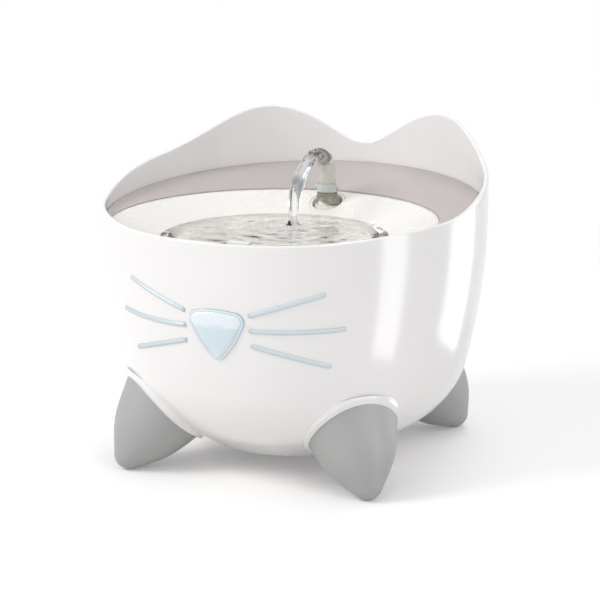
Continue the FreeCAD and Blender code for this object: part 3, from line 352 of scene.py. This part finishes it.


# name, colours by the painted shade value, other sockets, and the ripple's size, detail and depth
shadedLooks = {
    "nose": ("paleBlueLens",
             [(0.0, (0.12, 0.15, 0.17)), (0.25, (0.55, 0.64, 0.69)), (0.5, (0.64, 0.74, 0.79)),
              (1.0, (0.79, 0.86, 0.91))],
             {"Roughness": 0.10, "Coat Weight": 0.6, "Coat Roughness": 0.03, "IOR": 1.49},
             (0.004, 1, 0.00001)),
    "pool": ("poolWater", [(0.0, (0.99, 0.985, 0.975)), (0.5, (0.66, 0.65, 0.61)), (1.0, (0.24, 0.23, 0.21))],
             {"Roughness": 0.015, "Transmission Weight": 1.0, "IOR": 1.33}, (0.004, 2, 0.00004)),
    "stream": ("fallingWater",
               [(0.0, (0.99, 0.995, 1.0)), (0.5, (0.60, 0.65, 0.70)), (1.0, (0.20, 0.19, 0.17))],
               {"Roughness": 0.015, "Transmission Weight": 1.0, "IOR": 1.33}, (0.003, 2, 0.00006)),
}


def byShade(name, stops, sockets, ripple):
    # a finish whose colour follows the shade value that its mesh carries: painted shade and reflection
    material, tree, shader = startFinish(name, sockets)
    shade = tree.nodes.new("ShaderNodeAttribute")
    shade.attribute_name = "shade"
    tintBy(tree, shader, shade.outputs["Fac"], stops)
    roughen(tree, shader, cloud(tree, *ripple[:2]), ripple[2])
    return material


finishes = {slot: moldedPlastic(*look) for slot, look in moldedLooks.items()}
finishes["whisker_blue"] = whiskerFinish(whiskerLook)
finishes.update({slot: grains(*look) for slot, look in grainLooks.items()})
shaded = {piece: byShade(*look) for piece, look in shadedLooks.items()}
finishes["nose_blue"] = shaded["nose"]
ownLook = {"spout_base": "clear_foot_painted_light"}

for part in frame["record"]["subparts"]:
    mesh = nodes[part["node"]].data
    mesh.materials.clear()
    mesh.materials.append(finishes[ownLook.get(part["node"], part["material_slot"])])


# Making meshes
def clamp(value):
    return max(0.0, min(1.0, value))


def past(value, start):
    # 0 up to the start, then rising to 1 where the value is 1
    return max(0.0, (value - start) / (1 - start))


def makePiece(name, points, faces, body, material):
    mesh = bpy.data.meshes.new(name)
    mesh.from_pydata(points, [], faces)
    mesh.validate()
    mesh.update()
    mesh.polygons.foreach_set("use_smooth", [True] * len(mesh.polygons))
    piece = bpy.data.objects.new(name, mesh)
    scene.collection.objects.link(piece)
    mesh.materials.append(material)
    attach(piece, body)
    return piece


def ringFaces(rings, around, start=0, flip=False):
    faces = []
    for i in range(rings - 1):
        for j in range(around):
            k = (j + 1) % around
            quad = (start + i * around + j, start + i * around + k,
                    start + (i + 1) * around + k, start + (i + 1) * around + j)
            faces.append(quad[::-1] if flip else quad)
    return faces


def shadeMesh(piece, values):
    mark = piece.data.attributes.new("shade", "FLOAT", "POINT")
    mark.data.foreach_set("value", values)


# Nose: a clear cushion of plastic with a rounded border, let into the bowl
nose = {
    # half widths and heights of its corners, as the bowl's recess has them
    "tipHalf": 0.0042, "tipHeight": 0.0922, "tipArc": 0.0050,
    "cheekHalf": 0.0170, "cheekHeight": 0.1115, "sideArc": 0.0600,
    "browHalf": 0.0120, "browHeight": 0.1214, "cornerArc": 0.0062,
    "centre": 0.1090,
    "shares": [34, 26, 34, 26, 34, 16],  # points on each arc, from the tip's right corner round
    # rings from the back edge over the border towards the middle: inset, height over the bowl
    "rings": [(0.0, -0.0011), (0.0, 0.0002), (0.0, 0.0006), (0.00025, 0.0009), (0.0007, 0.0010),
              (0.0013, 0.0009), (0.0017, 0.0009), (0.0020, 0.0013), (0.0026, 0.0016), (0.0040, 0.0018),
              (0.0065, 0.0019), (0.0095, 0.00195)],
    "lastInset": 0.0026,        # rings further in than this shrink towards the centre
    "shrinkOver": 0.0078,
    "edgeInset": 0.0003,
    "grooveFrom": 0.0012,
    "grooveTo": 0.0019,
    "leftFrom": 0.0040,         # the painted dark line grows from here to the left
    "leftFade": 0.0100,
    "leftBelow": 0.1160,        # and downwards from here
    "tipBelow": 0.0975,
    "lowFade": 0.0040,
    "horizon": 0.1112,          # where the lighter upper half, a painted reflection, starts
    "horizonFade": 0.0006,
    # from 0, dark, to 1, pale
    "tones": {"edge": 0.36, "edgeLeft": 0.34, "groove": 0.42, "grooveLeft": 0.20, "border": 0.88,
              "middle": 0.50, "upper": 0.50, "tip": 0.25},
}
bowlForm = {"radius": 0.1252, "straightFrom": 0.1620, "flankArc": 0.3900}


def bowlRadius(height):
    drop = max(bowlForm["straightFrom"] - height, 0)
    return bowlForm["radius"] - bowlForm["flankArc"] + math.sqrt(bowlForm["flankArc"] ** 2 - drop ** 2)


def arcThrough(start, end, radius, count):
    # points from start towards end on an arc that bulges to the right of the way
    start, end = Vector(start), Vector(end)
    chord = end - start
    left = Vector((-chord.y, chord.x)).normalized()
    centre = (start + end) / 2 + left * math.sqrt(radius ** 2 - (chord.length / 2) ** 2)
    first = math.atan2(start.y - centre.y, start.x - centre.x)
    sweep = 2 * math.asin(chord.length / 2 / radius)
    turns = [first + sweep * n / count for n in range(count)]
    return [centre + radius * Vector((math.cos(a), math.sin(a))) for a in turns]


def noseOutline(look):
    right = [(look["tipHalf"], look["tipHeight"]), (look["cheekHalf"], look["cheekHeight"]),
             (look["browHalf"], look["browHeight"])]
    corners = right + [(-x, z) for x, z in reversed(right)]
    side, corner, tip = look["sideArc"], look["cornerArc"], look["tipArc"]
    arcs = [side, corner, side, corner, side, tip]
    points = []
    for i, (start, radius, count) in enumerate(zip(corners, arcs, look["shares"])):
        points += arcThrough(start, corners[(i + 1) % len(corners)], radius, count)
    return points


def insetBy(outline, amount):
    moved = []
    for i, point in enumerate(outline):
        along = (outline[(i + 1) % len(outline)] - outline[i - 1]).normalized()
        moved.append(point + Vector((-along.y, along.x)) * amount)
    return moved


def noseShade(look, x, z, inset):
    # painted shade and light: darkest at the edge and in the groove inside the border, most so at the lower
    # left; the border pale, and the middle lighter over its upper half and at the tip
    tones = look["tones"]
    leftSide = clamp((look["leftFrom"] - x) / look["leftFade"])
    leftSide *= clamp((look["leftBelow"] - z) / look["lowFade"])
    if inset < look["edgeInset"]:
        return tones["edge"] - tones["edgeLeft"] * leftSide
    if look["grooveFrom"] < inset < look["grooveTo"]:
        return tones["groove"] - tones["grooveLeft"] * leftSide
    if inset < look["grooveFrom"]:
        return tones["border"]
    tip = clamp((look["tipBelow"] - z) / look["lowFade"])
    upper = clamp((z - look["horizon"]) / look["horizonFade"])
    return min(1.0, tones["middle"] + tones["upper"] * upper + tones["tip"] * tip)


def makeNose(look):
    outline = noseOutline(look)
    centre = Vector((0, look["centre"]))
    points, shade = [], []
    for inset, height in look["rings"]:
        shrink = max(0.0, inset - look["lastInset"]) / look["shrinkOver"]
        for spot in insetBy(outline, min(inset, look["lastInset"])):
            spot = spot.lerp(centre, shrink)
            reach = bowlRadius(spot.y) + height
            points.append((spot.x, -math.sqrt(reach ** 2 - spot.x ** 2), spot.y))
            shade.append(noseShade(look, spot.x, spot.y, inset))
    around = len(outline)
    rings = len(look["rings"])
    faces = ringFaces(rings, around)
    faces.append(tuple(range(around))[::-1])
    faces.append(tuple((rings - 1) * around + j for j in range(around)))
    piece = makePiece("nose_cushion", points, faces, "bowl", shaded["nose"])
    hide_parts("nose_lens")
    shadeMesh(piece, shade)


makeNose(nose)
print("nose made")


# Spout seat: a cream ring that closes the seat round the spout's foot, flush with the dish
seatRing = {
    "centre": (0.0, 0.0560),
    "inner": 0.0101,
    "outer": 0.0119,
    "foot": 0.15105,
    "leastHeight": 0.0001,
    "round": 0.0003,
    "around": 96,
    "sunk": 0.00015,            # below the dish's own surface
}
dishSlope = {"centreY": -0.0340, "from": (0.0730, 0.1500), "to": (0.1021, 0.1604)}


def slopeHeight(x, y):
    away = math.hypot(x, y - dishSlope["centreY"])
    (r0, z0), (r1, z1) = dishSlope["from"], dishSlope["to"]
    return min(z1, z0 + (away - r0) * (z1 - z0) / (r1 - r0))


def makeSeatRing(look):
    cx, cy = look["centre"]
    inner, outer, edge = look["inner"], look["outer"], look["round"]
    # radius, and depth under the slope, or None at the foot
    section = [(inner, None), (inner, edge), (inner + edge, 0.0),
               (outer - edge, 0.0), (outer, edge), (outer, None)]
    points = []
    for radius, depth in section:
        for j in range(look["around"]):
            a = math.tau * j / look["around"]
            x, y = cx + radius * math.cos(a), cy + radius * math.sin(a)
            top = slopeHeight(x, y) - look["sunk"]
            z = look["foot"] if depth is None else max(look["foot"] + look["leastHeight"], top - depth)
            points.append((x, y, z))
    faces = ringFaces(len(section), look["around"], 0, True)
    last = (len(section) - 1) * look["around"]
    for j in range(look["around"]):
        k = (j + 1) % look["around"]
        faces.append((j, k, last + k, last + j))
    makePiece("seat_ring", points, faces, "tray", finishes["dish_cream"])


makeSeatRing(seatRing)
print("seat ring made")

# Water
pool = {
    "centre": (0.0, -0.034),
    "radius": 0.0730,
    "level": 0.1500,
    "rings": 100,
    "ringBias": 0.8,            # under 1 sets the rings closer together near the edge
    "innerRadius": 0.0004,
    "around": 240,
    "impact": (0.0, -0.002),
    "wave": 0.0125,             # crest to crest, near the stream
    "waveHeight": 0.00042,
    "waveReach": 0.026,
    "chop": 0.00026,            # cross ripples over the whole pool
    # noise scales along X and Y, per metre, and the layer of noise
    "bend": (40, 40, 1.3),
    "bendDepth": 1.8,
    "swirl": (38, 120, 4.1),
    "fine": (90, 230, 7.7),
    "fineShare": 0.35,
    "castFrom": 0.03,           # over the level, to find the bed
    "spareDepth": 0.01,         # where there is no bed
    "gap": 0.00012,             # kept between water and dish
    "leastDepth": 0.0001,
    "edgeDepth": 0.00005,
    "slopeStep": 0.0004,
    "slopeFree": 0.075,         # flatter water than this stays clear
    "slopeShade": 1.5,
    "edgeFrom": 0.955,          # shares of the radius, where the painted edge shade starts
    "edgeShade": 0.30,
    "endFrom": 0.90,            # cosine of the angle from X, where the painted shade at the pool's two ends starts
    "endShade": 0.45,
}


def noiseAt(x, y, scales, shift=0.0):
    alongX, alongY, layer = scales
    return noise.noise(Vector((x * alongX + shift, y * alongY, layer)))


def rippleHeight(x, y, look):
    away = math.hypot(x - look["impact"][0], y - look["impact"][1])
    fading = look["waveHeight"] * math.exp(-away / look["waveReach"])
    rings = fading * math.cos(math.tau * away / look["wave"])
    swirl = noiseAt(x, y, look["swirl"], look["bendDepth"] * noiseAt(x, y, look["bend"]))
    fine = look["fineShare"] * noiseAt(x, y, look["fine"])
    return rings + look["chop"] * (swirl + fine)


def bedTree():
    # the surfaces that the water lies on
    points, faces = [], []
    for name in ("drinking_dish", "filter_holder", "filter_cup", "filter_cap", "spout_base"):
        mesh = nodes[name].data
        start = len(points)
        points += [v.co.copy() for v in mesh.vertices]
        faces += [[start + i for i in p.vertices] for p in mesh.polygons]
    return BVHTree.FromPolygons(points, faces)


def poolShade(look, x, y, share, angle):
    # painted reflection and shade: grey where the ripples slope, darker in a band at the edge, most at the
    # pool's two ends
    step = look["slopeStep"]
    slope = abs(rippleHeight(x, y + step, look) - rippleHeight(x, y - step, look)) / (2 * step)
    grey = max(0.0, slope - look["slopeFree"]) * look["slopeShade"]
    ends = past(abs(math.cos(angle)), look["endFrom"])
    return min(1.0, grey + past(share, look["edgeFrom"]) * (look["edgeShade"] + look["endShade"] * ends))


def makePool(look):
    bed = bedTree()
    cx, cy = look["centre"]
    rings, around = look["rings"], look["around"]
    top, low, shade = [], [], []
    for i in range(rings):
        r = max(look["radius"] * (i / (rings - 1)) ** look["ringBias"], look["innerRadius"])
        for j in range(around):
            a = math.tau * j / around
            x, y = cx + r * math.cos(a), cy + r * math.sin(a)
            hit = bed.ray_cast(Vector((x, y, look["level"] + look["castFrom"])), Vector((0, 0, -1)))[0]
            floor = (hit.z if hit else look["level"] - look["spareDepth"]) + look["gap"]
            surface = look["level"] + rippleHeight(x, y, look)
            floor = min(floor, surface - look["leastDepth"]) if i < rings - 1 else surface - look["edgeDepth"]
            top.append((x, y, surface))
            low.append((x, y, floor))
            shade.append(poolShade(look, x, y, r / look["radius"], a))
    faces = ringFaces(rings, around, 0, True)
    faces += ringFaces(rings, around, rings * around)
    last = (rings - 1) * around
    for j in range(around):
        k = (j + 1) % around
        faces.append((last + k, last + j, rings * around + last + j, rings * around + last + k))
    faces.append(tuple(range(around)))
    faces.append(tuple(rings * around + j for j in range(around))[::-1])
    piece = makePiece("pool_water", top + low, faces, "tray", shaded["pool"])
    shadeMesh(piece, shade + [0.0] * len(low))


stream = {
    # down the middle of the stream: place along Y and height, and radius
    "points": [(0.0516, 0.1852, 0.0037), (0.0507, 0.1861, 0.0050), (0.0468, 0.1884, 0.0050),
               (0.0415, 0.1898, 0.0047), (0.0350, 0.1904, 0.0045), (0.0286, 0.1900, 0.0044),
               (0.0205, 0.1881, 0.0044), (0.0137, 0.1849, 0.0043), (0.0084, 0.1808, 0.0042),
               (0.0046, 0.1764, 0.0042), (0.0018, 0.1714, 0.0040), (-0.0010, 0.1656, 0.0037),
               (-0.0026, 0.1595, 0.0032), (-0.0024, 0.1545, 0.0030), (-0.0020, 0.1519, 0.0036),
               (-0.0020, 0.1509, 0.0048)],
    "steps": 9,
    "around": 40,
    "ribs": 3,
    "ribDepth": 0.10,
    "twist": 48.0,              # radians per metre
    "lumps": 0.16,
    "lumpsAround": 1.1,
    "lumpsAlong": 95,
    "plainUntil": 0.012,        # ribs and lumps grow over this much from the mouth
    # runs are in metres from the mouth
    # painted reflection and shade in the water's colour: cap, core, line, knot and streaks
    "cap": {"shade": 0.95, "ends": 0.030, "fade": 0.008, "side": 0.10, "lump": 0.5, "blend": 0.40},
    "core": {"shade": 0.8, "rib": 0.5, "from": 0.35, "fadeIn": 0.006, "fadeOut": 0.010, "ends": 0.062},
    "line": {"shade": 3.2, "from": 0.70},
    "knot": {"shade": 0.28, "reach": 0.004},
    "streaks": {"shade": 0.5, "rib": 0.45, "lump": 0.8},
}


def smoothLine(points, steps):
    # a smooth run through the given points
    made = []
    last = len(points) - 1
    for i in range(last):
        a, b, c, d = (Vector(points[max(0, min(last, i + k))]) for k in (-1, 0, 1, 2))
        for n in range(steps):
            t = n / steps
            made.append(0.5 * ((2 * b) + (c - a) * t + (2 * a - 5 * b + 4 * c - d) * t * t
                               + (3 * b - a - 3 * c + d) * t ** 3))
    made.append(Vector(points[-1]))
    return made


def streamShade(look, run, whole, outward, rib, lump):
    # painted reflection and shade: a dark cap over the bend, a grey core with pale sides below it, a dark
    # line on the left, and a grey knot where it lands
    cap, core, line, knot, streaks = (look[k] for k in ("cap", "core", "line", "knot", "streaks"))
    upper = clamp((outward.z + cap["side"] - cap["lump"] * lump) / cap["blend"])
    capShade = cap["shade"] * clamp((cap["ends"] - run) / cap["fade"]) * upper
    coreShare = clamp((run - cap["ends"]) / core["fadeIn"]) * clamp((core["ends"] - run) / core["fadeOut"])
    coreShade = coreShare * max(0.0, abs(outward.y) - core["from"]) * (core["shade"] - core["rib"] * rib)
    lineShade = line["shade"] * max(0.0, -outward.x - line["from"]) * max(0.0, 1 - run / core["ends"])
    knotShade = knot["shade"] * max(0.0, 1 - (whole - run) / knot["reach"])
    streakShade = streaks["shade"] * max(0.0, -streaks["rib"] * rib - streaks["lump"] * lump)
    return min(1.0, capShade + lineShade + coreShade + knotShade + streakShade)


def makeStream(look):
    line = smoothLine(look["points"], look["steps"])
    around = look["around"]
    runs = [0.0]
    for first, second in zip(line, line[1:]):
        runs.append(runs[-1] + math.hypot(second[0] - first[0], second[1] - first[1]))
    points, shade = [], []
    side = Vector((1, 0, 0))
    wide = look["lumpsAround"]
    for i, (spot, run) in enumerate(zip(line, runs)):
        before, after = line[max(0, i - 1)], line[min(len(line) - 1, i + 1)]
        ahead = Vector((0, after[0] - before[0], after[1] - before[1])).normalized()
        over = ahead.cross(side)
        fade = min(1.0, run / look["plainUntil"])
        for j in range(around):
            a = math.tau * j / around
            outward = math.cos(a) * side + math.sin(a) * over
            rib = math.cos(look["ribs"] * a + look["twist"] * run)
            lump = noise.noise(Vector((math.cos(a) * wide, math.sin(a) * wide, run * look["lumpsAlong"])))
            r = spot[2] * (1 + fade * (look["ribDepth"] * rib + look["lumps"] * lump))
            points.append(Vector((0, spot[0], spot[1])) + r * outward)
            shade.append(streamShade(look, run, runs[-1], outward, rib * fade, lump * fade))
    faces = ringFaces(len(line), around)
    faces.append(tuple(range(around))[::-1])
    faces.append(tuple((len(line) - 1) * around + j for j in range(around)))
    shadeMesh(makePiece("falling_water", points, faces, "spout", shaded["stream"]), shade)


makePool(pool)
makeStream(stream)
print("water made")

# Soft filter pieces
softParts = {
    "felt_pad": {"node": "cotton_pad", "body": "cartridge", "slot": "cotton", "sink": 0.00030, "grain": 260,
                 "fill": 0.5},
    "foam_block": {"node": "prefilter_foam", "body": "strainer", "slot": "foam_black", "sink": 0.00025,
                   "grain": 420, "fill": 0.8},
}
softMesh = {"weld": 0.00001, "passes": 6, "edge": 0.0016, "leastSink": 0.15}


def makeSoft(name, look):
    # a soft copy of the solid: finely divided, and sunk a little all over
    work = bmesh.new()
    work.from_mesh(nodes[look["node"]].data)
    bmesh.ops.remove_doubles(work, verts=work.verts, dist=softMesh["weld"])
    for _ in range(softMesh["passes"]):
        longEdges = [e for e in work.edges if e.calc_length() > softMesh["edge"]]
        if not longEdges:
            break
        bmesh.ops.subdivide_edges(work, edges=longEdges, cuts=1, use_grid_fill=False)
        bmesh.ops.triangulate(work, faces=[f for f in work.faces if len(f.verts) > 3])
    work.normal_update()
    moved = []
    for v in work.verts:
        lump = 0.5 + 0.5 * noise.noise(v.co * look["grain"])
        moved.append(v.co - v.normal * look["sink"] * (softMesh["leastSink"] + lump))
    for v, co in zip(work.verts, moved):
        v.co = co
    mesh = bpy.data.meshes.new(name)
    work.to_mesh(mesh)
    work.free()
    mesh.polygons.foreach_set("use_smooth", [True] * len(mesh.polygons))
    piece = bpy.data.objects.new(name, mesh)
    scene.collection.objects.link(piece)
    mesh.materials.append(finishes[look["slot"]])
    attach(piece, look["body"])
    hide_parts(look["node"])


for partName, partLook in softParts.items():
    makeSoft(partName, partLook)
print("soft parts made:", len(softParts))
